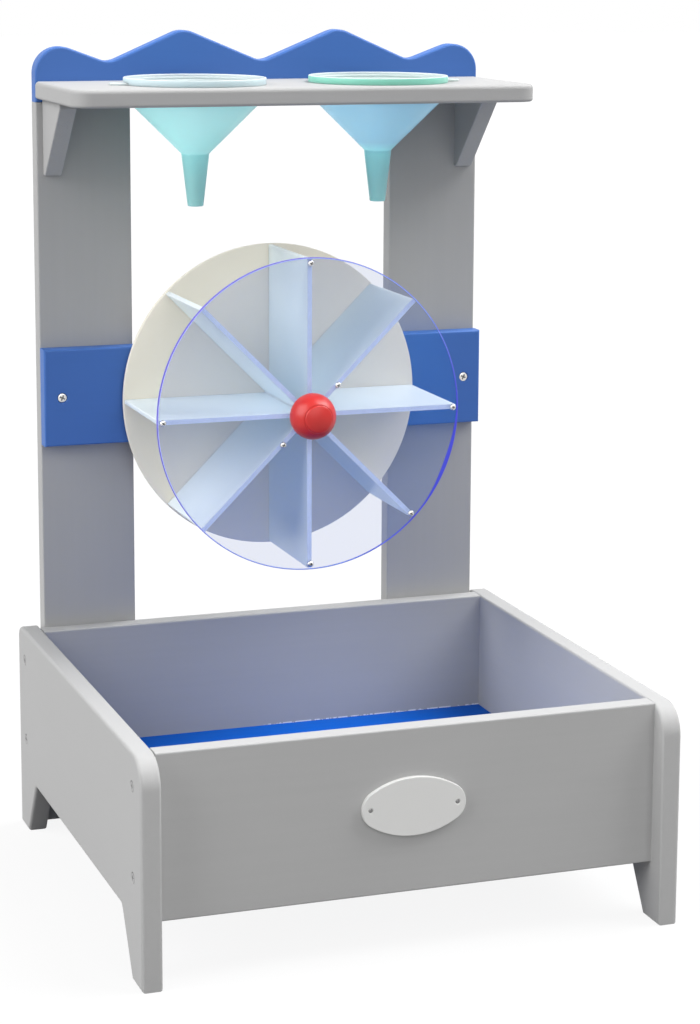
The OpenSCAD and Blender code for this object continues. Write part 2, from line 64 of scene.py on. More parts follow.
def aim_camera():
    data = bpy.data.cameras.new("camera")
    data.sensor_width = SENSOR
    data.lens = FOCAL_PX / IMAGE_H * SENSOR
    data.shift_x = (IMAGE_W / 2 - PRINCIPAL_X) / IMAGE_H
    data.shift_y = (PRINCIPAL_Y - IMAGE_H / 2) / IMAGE_H
    yaw, pitch, roll = map(math.radians, (CAMERA_YAW, CAMERA_PITCH, CAMERA_ROLL))
    level = math.cos(pitch)
    forward = Vector((math.sin(yaw) * level, math.cos(yaw) * level, -math.sin(pitch)))
    right = Vector((math.cos(yaw), -math.sin(yaw), 0))
    up = right.cross(forward)
    across = right * math.cos(roll) + up * math.sin(roll)
    upward = up * math.cos(roll) - right * math.sin(roll)
    camera = bpy.data.objects.new("camera", data)
    bpy.context.scene.collection.objects.link(camera)
    turn = Matrix((across, upward, -forward)).transposed().to_4x4()
    camera.matrix_world = Matrix.Translation(CAMERA_AT) @ turn
    bpy.context.scene.camera = camera


# Shader nodes
def feed(tree, socket, value):
    """Sets a socket, or links it where the value is another node's output."""
    if isinstance(value, bpy.types.NodeSocket):
        tree.links.new(value, socket)
    else:
        socket.default_value = value


def add_node(tree, kind, inputs=None, **settings):
    made = tree.nodes.new(kind)
    for key, value in settings.items():
        setattr(made, key, value)
    for key, value in (inputs or {}).items():
        feed(tree, made.inputs[key], value)
    return made


def new_material(name, inputs=None):
    material = bpy.data.materials.new(name)
    material.use_nodes = True
    tree = material.node_tree
    shader = tree.nodes["Principled BSDF"]
    for key, value in (inputs or {}).items():
        shader.inputs[key].default_value = value
    return material, tree, shader


def place_in_piece(tree):
    return add_node(tree, "ShaderNodeTexCoord").outputs["Object"]


def scaled(tree, place, scale):
    return add_node(tree, "ShaderNodeMapping", {"Vector": place, "Scale": scale}).outputs["Vector"]


# Octaves of a noise, and the scale of one whose place is scaled already
FEW, SOME, MORE, MANY = 2, 3, 4, 6
AS_SCALED = 1


def noise(tree, place, scale, octaves):
    inputs = {"Vector": place, "Scale": scale, "Detail": octaves}
    return add_node(tree, "ShaderNodeTexNoise", inputs).outputs[0]


NOISE_LOW, NOISE_HIGH = 0.3, 0.7


def remap(tree, value, low, high, start=NOISE_LOW, end=NOISE_HIGH):
    """Takes a value from the span of start and end to that of low and high."""
    inputs = {"Value": value, "From Min": start, "From Max": end, "To Min": low, "To Max": high}
    return add_node(tree, "ShaderNodeMapRange", inputs).outputs["Result"]


def calculate(tree, operation, first, second):
    made = add_node(tree, "ShaderNodeMath", operation=operation)
    feed(tree, made.inputs[0], first)
    feed(tree, made.inputs[1], second)
    return made.outputs[0]


def along(tree, place, way):
    """Distance of a place along a direction."""
    made = add_node(tree, "ShaderNodeVectorMath", operation="DOT_PRODUCT")
    feed(tree, made.inputs[0], place)
    feed(tree, made.inputs[1], way)
    return made.outputs["Value"]


def ramp(tree, factor, stops):
    """Colour that follows a factor through stops of (position, colour)."""
    made = add_node(tree, "ShaderNodeValToRGB", {"Fac": factor})
    elements = made.color_ramp.elements
    while len(elements) < len(stops):
        elements.new(1)
    for element, (position, colour) in zip(elements, stops):
        element.position = position
        element.color = (*colour, 1)
    return made.outputs["Color"]


def tones(tree, factor, colour, spread):
    """The colour, from a little darker to a little lighter."""
    darker = [c * (1 - spread) for c in colour]
    lighter = [min(1, c * (1 + spread)) for c in colour]
    return ramp(tree, factor, [(NOISE_LOW, darker), (NOISE_HIGH, lighter)])


def blend_colours(tree, factor, first, second):
    made = add_node(tree, "ShaderNodeMix", data_type="RGBA")
    feed(tree, made.inputs["Factor"], factor)
    first_socket, second_socket = [s for s in made.inputs if s.type == "RGBA"]
    feed(tree, first_socket, first)
    feed(tree, second_socket, second)
    return [s for s in made.outputs if s.type == "RGBA"][0]


def bump(tree, height, depth, normal=None):
    inputs = {"Height": height, "Distance": depth, "Strength": 1}
    if normal:
        inputs["Normal"] = normal
    return add_node(tree, "ShaderNodeBump", inputs).outputs["Normal"]


# Paints
GREY = (0.44, 0.44, 0.44)
# Lighter grey of the braces' sawn faces: painted light that lifts the shade they get from facing down.
SAWN_GREY_PAINTED_LIGHT = (0.5, 0.5, 0.5)
BLUE = (0.055, 0.155, 0.47)
FLOOR_BLUE = (0.004, 0.106, 0.53)
RED = (0.64, 0.03, 0.026)
GRAIN_ALONG, GRAIN_ACROSS = 7, 190
PEEL_SCALE = 900
CLOUD_SCALE = 9
GRAIN_DEPTH, PEEL_DEPTH = 0.00005, 0.00004
PAINT_SPREAD = 0.02
EVEN_SHARE = 0.5
PAINT_SPECULAR, BLUE_SPECULAR, FLOOR_SPECULAR = 0.1, 0.3, 0.02
SAWN_SCALE, SAWN_DEPTH = 620, 0.0004
FLECKS_X = (-0.006, 0.004)
FLECKS_Y = (0.181, 0.182)
FLECKS_Z = (0.0784, 0.0788)
FLECK_SCALE = 330
FLECK_EDGE = (0.44, 0.47)
FLECK_COLOUR = (0.9, 0.9, 0.88, 1)


def flecks(tree, place):
    """Crumbs of bare filler along the joint of the tray floor."""
    by_height = remap(tree, along(tree, place, (0, 0, 1)), 1, 0, *FLECKS_Z)
    by_place = remap(tree, along(tree, place, (1, 0, 0)), 0, 1, *FLECKS_X)
    by_depth = remap(tree, along(tree, place, (0, 1, 0)), 1, 0, *FLECKS_Y)
    crumbs = remap(tree, noise(tree, place, FLECK_SCALE, SOME), 0, 1, *FLECK_EDGE)
    for share in (by_height, by_place, by_depth):
        crumbs = calculate(tree, "MULTIPLY", crumbs, share)
    return crumbs


def paint(name, colour, grain, gloss, specular=PAINT_SPECULAR, flecked=False, sawn=False):
    """Sprayed paint on wood, with the grain faintly raised along one axis."""
    material, tree, shader = new_material(name, {"Specular IOR Level": specular})
    place = place_in_piece(tree)
    stretch = [GRAIN_ALONG if axis == grain else GRAIN_ACROSS for axis in "XYZ"]
    fibres = noise(tree, scaled(tree, place, stretch), AS_SCALED, MANY)
    clouds = noise(tree, place, CLOUD_SCALE, SOME)
    peel = noise(tree, place, PEEL_SCALE, FEW)
    mottle = calculate(tree, "MULTIPLY", calculate(tree, "ADD", fibres, clouds), EVEN_SHARE)
    colours = tones(tree, mottle, colour, PAINT_SPREAD)
    if flecked:
        colours = blend_colours(tree, flecks(tree, place), colours, FLECK_COLOUR)
    feed(tree, shader.inputs["Base Color"], colours)
    feed(tree, shader.inputs["Roughness"], remap(tree, mottle, *gloss))
    raised = bump(tree, fibres, GRAIN_DEPTH)
    if sawn:
        raised = bump(tree, noise(tree, place, SAWN_SCALE, SOME), SAWN_DEPTH, raised)
    feed(tree, shader.inputs["Normal"], bump(tree, peel, PEEL_DEPTH, raised))
    return material


SATIN = (0.42, 0.56)
FLOOR_GLOSS = (0.3, 0.42)
BALL_GLOSS = (0.3, 0.38)
WAVE_SCALE = 60
WAVE_DEPTH = 0.00006
BALL_SPECULAR = 0.4


def lacquer(name, colour):
    """Thick glossy paint that has flowed out in shallow waves."""
    material, tree, shader = new_material(name, {"Specular IOR Level": BALL_SPECULAR})
    place = place_in_piece(tree)
    waves = noise(tree, place, WAVE_SCALE, FEW)
    feed(tree, shader.inputs["Base Color"], tones(tree, waves, colour, PAINT_SPREAD))
    feed(tree, shader.inputs["Roughness"], remap(tree, waves, *BALL_GLOSS))
    feed(tree, shader.inputs["Normal"], bump(tree, waves, WAVE_DEPTH))
    return material


# Plastics
CREAM = (0.88, 0.82, 0.7)
WHITE = (0.69, 0.77, 0.81)
BLADE_EDGE = (0.7, 0.79, 1)
BADGE_WHITE = (0.72, 0.72, 0.71)
ACRYLIC = (0.02, 0.2, 0.7)
ACRYLIC_ALPHA = 0.13
ACRYLIC_EDGE = (0.14, 0.12, 0.62)
SHEET_GLOSS = (0.34, 0.38)
BADGE_GLOSS = (0.32, 0.42)
CLEAR_GLOSS = (0.02, 0.08)
SHEET_SPECULAR = 0.25
PLASTIC_SPREAD = 0.008
PLASTIC_DEPTH = 0.00002
PLASTIC_CLOUD = 22
PLASTIC_PEEL = 700
SCRATCHES = (18, 18, 900)
SUBSURFACE_DEPTH = 0.008
DISC_MILK, BLADE_MILK = 0.3, 0.9
# Painted glow: emission on the cream disc, the blades and the hub tube that stands in for light passing
# through them.
DISC_PAINTED_GLOW, BLADE_PAINTED_GLOW = 0.07, 0.09
# Painted glow on the clear disc's rim and band and on the blades' front edges.
RIM_PAINTED_GLOW, EDGE_PAINTED_GLOW = 0.15, 0.22
# Painted shade of the rim band: its colour goes from pale lavender to deep violet along this way.
RIM_SHADE_WAY = (0.94, 0, -0.34)
RIM_SHADE_SPAN = (-0.27, 0.005)
RIM_SHADE_STOPS = [(0.0, (0.5, 0.53, 0.96)), (0.75, (0.24, 0.38, 0.86)), (0.95, (0.07, 0.08, 0.68))]


def plastic(name, colour, gloss, milkiness=0, glow=0):
    """Moulded or sheet plastic; a milky one spreads light inside, and its glow is painted light, an
    emission that stands in for light coming through it.
    """
    settings = {
        "Subsurface Weight": milkiness,
        "Subsurface Scale": SUBSURFACE_DEPTH,
        "Subsurface Radius": (1, 1, 1),
        "Specular IOR Level": SHEET_SPECULAR,
        "Emission Color": (*colour, 1),
        "Emission Strength": glow,
    }
    material, tree, shader = new_material(name, settings)
    place = place_in_piece(tree)
    clouds = noise(tree, place, PLASTIC_CLOUD, SOME)
    peel = noise(tree, place, PLASTIC_PEEL, FEW)
    feed(tree, shader.inputs["Base Color"], tones(tree, clouds, colour, PLASTIC_SPREAD))
    feed(tree, shader.inputs["Roughness"], remap(tree, clouds, *gloss))
    feed(tree, shader.inputs["Normal"], bump(tree, peel, PLASTIC_DEPTH))
    return material


def clear_acrylic(name):
    """Clear sheet with a blue tint and fine wipe marks."""
    settings = {"Alpha": ACRYLIC_ALPHA, "Specular IOR Level": SHEET_SPECULAR}
    material, tree, shader = new_material(name, settings)
    marks = noise(tree, scaled(tree, place_in_piece(tree), SCRATCHES), AS_SCALED, MORE)
    feed(tree, shader.inputs["Base Color"], tones(tree, marks, ACRYLIC, PLASTIC_SPREAD))
    feed(tree, shader.inputs["Roughness"], remap(tree, marks, *CLEAR_GLOSS))
    feed(tree, shader.inputs["Normal"], bump(tree, marks, PLASTIC_DEPTH))
    return material


def rim_band_painted_shade(tree, place):
    """Painted shade on the clear sheet's rim band: pale lavender toward the upper left, deepening to
    violet toward the lower right.
    """
    share = remap(tree, along(tree, place, RIM_SHADE_WAY), 0, 1, *RIM_SHADE_SPAN)
    return ramp(tree, share, RIM_SHADE_STOPS)


def sheet_edge(name, colour, glow):
    """Edge of a sheet with a painted glow, an emission that stands in for light gathered at the edge;
    its colour is one tone, or follows a place.
    """
    settings = {"Emission Strength": glow, "Specular IOR Level": SHEET_SPECULAR}
    material, tree, shader = new_material(name, settings)
    place = place_in_piece(tree)
    saw = noise(tree, place, PLASTIC_PEEL, FEW)
    colours = colour(tree, place) if callable(colour) else tones(tree, saw, colour, PLASTIC_SPREAD)
    feed(tree, shader.inputs["Base Color"], colours)
    feed(tree, shader.inputs["Emission Color"], colours)
    feed(tree, shader.inputs["Roughness"], remap(tree, saw, *SHEET_GLOSS))
    feed(tree, shader.inputs["Normal"], bump(tree, saw, PLASTIC_DEPTH))
    return material


FUNNEL_SPREAD = 0.9
FUNNEL_DEPTH = 0.006
FUNNEL_GLOSS = (0.34, 0.46)
FUNNEL_HEIGHTS = (0.56, 0.68)
FUNNEL_STOPS = (0.0, 0.38, 0.47, 0.78, 0.9, 0.96)


def funnel_plastic(name, colours):
    """Translucent moulded plastic, whose tint pales from the spout to the rim."""
    settings = {
        "Subsurface Weight": FUNNEL_SPREAD,
        "Subsurface Scale": FUNNEL_DEPTH,
        "Subsurface Radius": (1, 1, 1),
        "Specular IOR Level": SHEET_SPECULAR,
    }
    material, tree, shader = new_material(name, settings)
    place = place_in_piece(tree)
    share = remap(tree, along(tree, place, (0, 0, 1)), 0, 1, *FUNNEL_HEIGHTS)
    peel = noise(tree, place, PLASTIC_PEEL, FEW)
    clouds = noise(tree, place, PLASTIC_CLOUD, SOME)
    feed(tree, shader.inputs["Base Color"], ramp(tree, share, list(zip(FUNNEL_STOPS, colours))))
    feed(tree, shader.inputs["Roughness"], remap(tree, clouds, *FUNNEL_GLOSS))
    feed(tree, shader.inputs["Normal"], bump(tree, peel, PLASTIC_DEPTH))
    return material


# Metals and bare wood
ZINC = (0.72, 0.71, 0.69)
STEEL = (0.42, 0.42, 0.43)
# Dark steel of the badge pins, also used as painted shade in the screws' cross recesses.
DARK_STEEL_AND_SHADE = (0.2, 0.2, 0.2)
BEECH = (0.62, 0.42, 0.2)
METAL_GLOSS = (0.2, 0.36)
METAL_SCALE = 800
METAL_DEPTH = 0.00001
METAL_SPREAD = 0.08


def metal(name, colour):
    material, tree, shader = new_material(name, {"Metallic": 1})
    grain = noise(tree, place_in_piece(tree), METAL_SCALE, MORE)
    feed(tree, shader.inputs["Base Color"], tones(tree, grain, colour, METAL_SPREAD))
    feed(tree, shader.inputs["Roughness"], remap(tree, grain, *METAL_GLOSS))
    feed(tree, shader.inputs["Normal"], bump(tree, grain, METAL_DEPTH))
    return material


GREY_X, GREY_Y, GREY_Z = (paint(f"grey_paint_{axis.lower()}", GREY, axis, SATIN) for axis in "XYZ")
GREY_FLECKED = paint("grey_paint_flecked", GREY, "X", SATIN, flecked=True)
GREY_SAWN_PAINTED_LIGHT = paint("grey_paint_sawn_painted_light", SAWN_GREY_PAINTED_LIGHT, "Z", SATIN, sawn=True)
BLUE_X = paint("blue_paint", BLUE, "X", SATIN, specular=BLUE_SPECULAR)
FLOOR_PAINT = paint("floor_blue", FLOOR_BLUE, "X", FLOOR_GLOSS, specular=FLOOR_SPECULAR)
BALL_PAINT = lacquer("red_paint", RED)
CREAM_SHEET = plastic("cream_plastic", CREAM, SHEET_GLOSS, DISC_MILK, DISC_PAINTED_GLOW)
WHITE_SHEET = plastic("white_plastic", WHITE, SHEET_GLOSS, BLADE_MILK, BLADE_PAINTED_GLOW)
BLADE_EDGES = sheet_edge("blade_edge", BLADE_EDGE, EDGE_PAINTED_GLOW)
BADGE_ENAMEL = plastic("badge_white", BADGE_WHITE, BADGE_GLOSS)
CLEAR_SHEET = clear_acrylic("clear_acrylic")
CLEAR_RIM = sheet_edge("clear_acrylic_edge", ACRYLIC_EDGE, RIM_PAINTED_GLOW)
CLEAR_BAND = sheet_edge("clear_acrylic_band", rim_band_painted_shade, RIM_PAINTED_GLOW)
ZINC_METAL = metal("zinc", ZINC)
STEEL_METAL = metal("steel", STEEL)
DARK_METAL_AND_SHADE = metal("dark_steel_and_recess_shade", DARK_STEEL_AND_SHADE)
BEECH_WOOD = paint("beech", BEECH, "Z", SATIN)

TURQUOISE_PLASTIC = funnel_plastic("funnel_turquoise", [
    (0.4, 0.95, 0.98), (0.42, 0.95, 0.98), (0.42, 0.99, 0.99),
    (0.42, 0.99, 0.99), (0.5, 0.6, 0.63), (0.5, 0.6, 0.63),
])
# Mostly darker copies of the funnel plastics: painted shade for the faces that face up or inward.
TURQUOISE_INSIDE_SHADED = funnel_plastic("funnel_turquoise_inside_shaded", [
    (0.3, 0.66, 0.69), (0.3, 0.66, 0.69), (0.34, 0.66, 0.68),
    (0.42, 0.6, 0.62), (0.5, 0.56, 0.57), (0.54, 0.57, 0.58),
])
BLUE_PLASTIC = funnel_plastic("funnel_blue", [
    (0.38, 0.88, 0.99), (0.37, 0.84, 0.98), (0.31, 0.55, 0.77),
    (0.31, 0.55, 0.77), (0.24, 0.55, 0.45), (0.24, 0.55, 0.45),
])
BLUE_INSIDE_SHADED = funnel_plastic("funnel_blue_inside_shaded", [
    (0.26, 0.5, 0.6), (0.26, 0.5, 0.6), (0.3, 0.54, 0.62),
    (0.4, 0.58, 0.6), (0.48, 0.57, 0.55), (0.53, 0.57, 0.56),
])


# Meshes
SMOOTH_ANGLE = math.radians(35)
ARC_STEPS, LEAST_STEPS = 12, 2
FILLET_STEPS = 6
SUPPORT = 0.2
WELD = 1e-6
NEARLY_STRAIGHT = 1e-4
PIT_SEGMENTS = 40

# Edges of a rectangle, and further places in a piece's list of materials
BOTTOM, RIGHT, TOP, LEFT = range(4)
SECOND, THIRD = 1, 2


def facing_front(y):
    """Outline of X and Z, thick along Y from its front face."""
    return lambda u, v, w: Vector((u, y + w, v)) * MM


def along_y(x, y, z):
    """Lathe whose axis runs along Y."""
    return lambda u, v, w: Vector((x + u, y + w, z + v)) * MM


def facing_left(x):
    """Outline of Y and Z, thick along X from its left face."""
    return lambda u, v, w: Vector((x + w, u, v)) * MM


def facing_down(z):
    """Outline of X and Y, thick along Z from its lower face."""
    return lambda u, v, w: Vector((u, v, z + w)) * MM


def box(node):
    low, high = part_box(node)
    return low / MM, high / MM


def solids_of(node):
    """Middles of a node's separate solids."""
    bm = bmesh.new()
    bm.from_mesh(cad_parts[node].data)
    bmesh.ops.remove_doubles(bm, verts=bm.verts, dist=WELD)
    middles, others = [], set(bm.verts)
    while others:
        solid, fresh = set(), {next(iter(others))}
        while fresh:
            solid |= fresh
            fresh = {e.other_vert(v) for v in fresh for e in v.link_edges} - solid
        others -= solid
        corners = [[pick(v.co[i] for v in solid) for i in (X, Y, Z)] for pick in (min, max)]
        middles.append((Vector(corners[0]) + Vector(corners[1])) / 2 / MM)
    bm.free()
    return sorted(middles, key=tuple)


def arc_points(middle, radius, start, turn, steps):
    angles = [start + turn * i / steps for i in range(steps + 1)]
    return [middle + radius * Vector((math.cos(a), math.sin(a))) for a in angles]


def rounded(points, radii):
    """Closed outline with an arc of each corner's radius."""
    outline = []
    for i, radius in enumerate(radii):
        corner = Vector(points[i])
        back = (Vector(points[i - 1]) - corner).normalized()
        ahead = (Vector(points[(i + 1) % len(points)]) - corner).normalized()
        if radius == 0:
            outline.append(corner)
            continue
        half = back.angle(ahead) / 2
        reach = radius / math.tan(half)
        middle = corner + (back + ahead).normalized() * radius / math.sin(half)
        first, last = (corner + way * reach - middle for way in (back, ahead))
        start = math.atan2(first.y, first.x)
        turn = (math.atan2(last.y, last.x) - start + math.pi) % (2 * math.pi) - math.pi
        steps = max(LEAST_STEPS, math.ceil(abs(turn) / math.pi * 2 * ARC_STEPS))
        outline += arc_points(middle, radius, start, turn, steps)
    return outline


def rectangle(x0, z0, x1, z1):
    return [Vector((x0, z0)), Vector((x1, z0)), Vector((x1, z1)), Vector((x0, z1))]


def circle(middle, radius, segments, direction=1):
    return arc_points(Vector(middle), radius, 0, direction * 2 * math.pi, segments)[:-1]


def inset(outline, distances):
    """Moves each edge of a counterclockwise outline inward by its own distance."""
    moved = []
    for i, point in enumerate(outline):
        into = (point - outline[i - 1]).normalized()
        out = (outline[(i + 1) % len(outline)] - point).normalized()
        before, after = Vector((-into.y, into.x)), Vector((-out.y, out.x))
        first, second = distances[i - 1], distances[i]
        area = before.x * after.y - before.y * after.x
        if abs(area) < NEARLY_STRAIGHT:
            moved.append(point + after * second)
            continue
        shift_x = (first * after.y - second * before.y) / area
        shift_y = (before.x * second - after.x * first) / area
        moved.append(point + Vector((shift_x, shift_y)))
    return moved


def add_ring(bm, outline, level, place):
    return [bm.verts.new(place(u, v, level)) for u, v in outline]


def bridge(bm, first, second):
    """Quads between two rings; a ring of one point is a pole."""
    count = max(len(first), len(second))
    for i in range(count):
        j = (i + 1) % count
        low = [first[0]] if len(first) == 1 else [first[i], first[j]]
        high = [second[0]] if len(second) == 1 else [second[j], second[i]]
        bm.faces.new(low + high)


def fillet_rings(radius):
    """Inset and level of each ring from a board's face to its side."""
    angles = [math.pi / 2 * i / FILLET_STEPS for i in range(FILLET_STEPS + 1)]
    rise = [(radius * (1 - math.sin(a)), radius * (1 - math.cos(a))) for a in angles]
    return [(radius + SUPPORT, 0), *rise, (0, radius + SUPPORT)]


def edge_rings(radii, depth):
    """Rings from the front face of a board to its back, each edge with its own radius."""
    front, back = map(fillet_rings, radii)
    return front + [(inward, depth - level) for inward, level in reversed(back)]


def add_pit(bm, middle, profile, level, direction, place):
    """Sunk seat for a screw head, given as (radius, depth); returns its rim."""
    rings = []
    for radius, depth in profile:
        outline = circle(middle, radius, PIT_SEGMENTS)
        rings.append(add_ring(bm, outline, level + direction * depth, place))
    for first, second in zip(rings, rings[1:]):
        bridge(bm, first, second)
    bm.faces.new(rings[-1])
    return rings[0]


def fill_cap(bm, rings):
    edges = [bm.edges.get((r[i - 1], r[i])) for r in rings for i in range(len(r))]
    bmesh.ops.triangle_fill(bm, use_beauty=True, edges=edges)


def add_board(bm, outline, depth, fillets, place, square=(), holes=(), front_pits=(), back_pits=()):
    """Board with rounded edges, apart from the square ones that meet another board."""
    shares = [0 if i in square else 1 for i in range(len(outline))]
    loops = [(outline, shares, fillets)]
    loops += [(hole, [1] * len(hole), hole_fillets) for hole, hole_fillets in holes]
    front, back = [], []
    for points, edge_shares, radii in loops:
        rings = []
        for inward, level in edge_rings(radii, depth):
            ring = inset(points, [inward * share for share in edge_shares])
            rings.append(add_ring(bm, ring, level, place))
        for first, second in zip(rings, rings[1:]):
            bridge(bm, first, second)
        front.append(rings[0])
        back.append(rings[-1])
    front += [add_pit(bm, middle, profile, 0, 1, place) for middle, profile in front_pits]
    back += [add_pit(bm, middle, profile, depth, -1, place) for middle, profile in back_pits]
    fill_cap(bm, front)
    fill_cap(bm, back)


def add_lathe(bm, profile, segments, place, closed=True):
    """Turns an outline of (radius, height); a radius of zero is a pole."""
    rings = []
    for radius, height in profile:
        outline = circle((0, 0), radius, segments) if radius > 0 else [Vector((0, 0))]
        rings.append(add_ring(bm, outline, height, place))
    pairs = list(zip(rings, rings[1:]))
    if closed:
        pairs.append((rings[-1], rings[0]))
    for first, second in pairs:
        bridge(bm, first, second)
    return rings


def make_piece(name, bm, body, nodes, materials):
    """Piece that rides on a body and stands for CAD nodes."""
    bmesh.ops.remove_doubles(bm, verts=bm.verts, dist=WELD)
    bmesh.ops.recalc_face_normals(bm, faces=bm.faces)
    mesh = bpy.data.meshes.new(name)
    bm.to_mesh(mesh)
    bm.free()
    for material in materials:
        mesh.materials.append(material)
    mesh.polygons.foreach_set("use_smooth", [True] * len(mesh.polygons))
    mesh.set_sharp_from_angle(angle=SMOOTH_ANGLE)
    piece = bpy.data.objects.new(name, mesh)
    bpy.context.scene.collection.objects.link(piece)
    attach(piece, body)
    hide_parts(*nodes)


def make_board(name, node, slot, material, *form, **details):
    bm = bmesh.new()
    add_board(bm, *form, **details)
    make_piece(name, bm, "frame", [node], [material])


# Boards of the tray
SIDE_FILLETS = {"left": (2.8, 2.2), "right": (2.2, 2.8)}
TRAY_FILLETS = (1.5, 1.5)
FOOT_W, LEG_TOP_W, GAP_H = 30, 61, 50
GAP_R, FRONT_R, REAR_R = 8, 25, 10
SCREW_SEAT = [(4.8, 0), (4.3, 0.5), (4.1, 1.6), (2.3, 2.9)]


def seats(node, axes, low, high):
    """Screw seats in a board for those of a node's screws that lie on it."""
    i, j = axes
    return [
        ((m[i], m[j]), SCREW_SEAT)
        for m in solids_of(node)
        if low[i] < m[i] < high[i] and low[j] < m[j] < high[j]
    ]


def side_board(side):
    low, high = box(f"{side}_side_panel")
    corners = [
        (low.y, low.z), (low.y + FOOT_W, low.z), (low.y + LEG_TOP_W, GAP_H),
        (high.y - LEG_TOP_W, GAP_H), (high.y - FOOT_W, low.z), (high.y, low.z),
        (high.y, high.z), (low.y, high.z),
    ]
    radii = [0, 0, GAP_R, GAP_R, 0, 0, REAR_R, FRONT_R]
    outer = "front_pits" if side == "left" else "back_pits"
    make_board(
        f"{side}_side_board", f"{side}_side_panel", "grey_paint", GREY_Y,
        rounded(corners, radii), high.x - low.x, SIDE_FILLETS[side], facing_left(low.x),
        **{outer: seats(f"{side}_side_screws", (Y, Z), low, high)},
    )


def tray_board(name, node, material):
    low, high = box(node)
    make_board(
        name, node, "grey_paint", material, rectangle(low.x, low.z, high.x, high.z),
        high.y - low.y, TRAY_FILLETS, facing_front(low.y), square=(RIGHT, LEFT),
    )


# Oval badge with two sunk pins
BADGE_END_R = 16
BADGE_FILLETS = (0.7, 0.4)
BADGE_STEPS = 96
PIN_SEAT = [(2.5, 0), (2.0, 0.8)]
PIN_HEAD = [(0, 0.35), (0.9, 0.42), (1.5, 0.6), (1.8, 0.8), (1.8, 3), (0, 3)]
PIN_SEGMENTS = 32


def oval(width, height, end_r):
    """Four arcs that run into each other, placed by the direction they face."""
    end_x = width / 2 - end_r
    side_r = (end_x**2 + height**2 / 4 - end_r**2) / (height - 2 * end_r)
    middle_z = side_r - height / 2
    join = math.atan2(middle_z, end_x)
    outline = []
    for i in range(BADGE_STEPS):
        angle = 2 * math.pi * i / BADGE_STEPS
        way = Vector((math.cos(angle), math.sin(angle)))
        if abs(math.sin(angle)) < math.sin(join):
            outline.append(Vector((math.copysign(end_x, way.x), 0)) + way * end_r)
        else:
            outline.append(Vector((0, -math.copysign(middle_z, way.y))) + way * side_r)
    return outline


def badge():
    low, high = box("badge_plate")
    middle = (low + high) / 2
    outline = oval(high.x - low.x, high.z - low.z, BADGE_END_R)
    outline = [point + Vector((middle.x, middle.z)) for point in outline]
    pins = [(m.x, m.z) for m in solids_of("badge_pins")]
    make_board(
        "oval_badge", "badge_plate", "badge_white", BADGE_ENAMEL,
        outline, high.y - low.y, BADGE_FILLETS, facing_front(low.y),
        front_pits=[(pin, PIN_SEAT) for pin in pins],
    )
    bm = bmesh.new()
    for x, z in pins:
        add_lathe(bm, PIN_HEAD, PIN_SEGMENTS, along_y(x, low.y, z), closed=False)
    make_piece("badge_rivets", bm, "frame", ["badge_pins"], [DARK_METAL_AND_SHADE])


# Upright frame, shelf and crest
POST_FILLETS = (1.5, 1.5)
RAIL_FILLETS = (2, 2)
SHELF_FILLETS = (2.5, 3.5)
BRACE_FILLETS = (1.2, 1.2)
CREST_FILLETS = (2.2, 2.2)
BRACE_R = 2.5
BRACE_REACH, BRACE_H, BRACE_NOSE = 65, 66, 5
SAWN_LEAN = 0.3
SHELF_R = 18
HOLE_R = 59
HOLE_FILLETS = (0.8, 0.8)
HOLE_SEGMENTS = 128
FUNNEL_X = 83
CREST_END_H, CREST_VALLEY_H, CREST_PEAK_H = 57.5, 33.5, 63
CREST_END_R, CREST_VALLEY_R, CREST_PEAK_R = 23, 20, 22
PEAK_SHARE, VALLEY_SHARE = 0.35, 0.68


def post(side):
    low, high = box(f"{side}_upright")
    behind = [s for n in ("upright_screws", "bracket_screws") for s in seats(n, (X, Z), low, high)]
    make_board(
        f"{side}_post", f"{side}_upright", "grey_paint", GREY_Z,
        rectangle(low.x, low.z, high.x, high.z), high.y - low.y, POST_FILLETS,
        facing_front(low.y), back_pits=behind,
    )


def cross_rail():
    low, high = box("crossbar")
    make_board(
        "cross_rail", "crossbar", "blue_paint", BLUE_X,
        rectangle(low.x, low.z, high.x, high.z), high.y - low.y, RAIL_FILLETS,
        facing_front(low.y), front_pits=seats("crossbar_screws", (X, Z), low, high),
    )


def shelf_board():
    low, high = box("shelf")
    corners = [(low.x, low.y), (high.x, low.y), (high.x, high.y), (low.x, high.y)]
    outline = rounded(corners, [SHELF_R, SHELF_R, 0, 0])
    middle_y = (low.y + high.y) / 2
    holes = [
        (circle((side * FUNNEL_X, middle_y), HOLE_R, HOLE_SEGMENTS, -1), HOLE_FILLETS)
        for side in SIDES.values()
    ]
    back_edge = len(outline) - 2
    make_board(
        "shelf_board", "shelf", "grey_paint", GREY_X, outline, high.z - low.z, SHELF_FILLETS,
        facing_down(low.z), square=(back_edge,), holes=holes,
    )


def brace(side):
    low, high = box(f"{side}_bracket")
    corners = [
        (high.y, high.z), (high.y - BRACE_REACH, high.z), (high.y - BRACE_REACH, high.z - BRACE_NOSE),
        (high.y - BRACE_NOSE, high.z - BRACE_H), (high.y, high.z - BRACE_H),
    ]
    outline = rounded(corners, [0, 0, BRACE_R, BRACE_R, 0])
    top_edge, back_edge = 0, len(outline) - 1
    bm = bmesh.new()
    add_board(
        bm, outline, high.x - low.x, BRACE_FILLETS, facing_left(low.x),
        square=(top_edge, back_edge),
    )
    bmesh.ops.recalc_face_normals(bm, faces=bm.faces)
    # Faces that lean down and forward get the lighter sawn grey, painted light on their shaded side,
    # with a sawn texture.
    for face in bm.faces:
        if face.normal.y < -SAWN_LEAN and face.normal.z < -SAWN_LEAN:
            face.material_index = SECOND
    materials = [GREY_Z, GREY_SAWN_PAINTED_LIGHT]
    make_piece(f"{side}_brace", bm, "frame", [f"{side}_bracket"], materials)


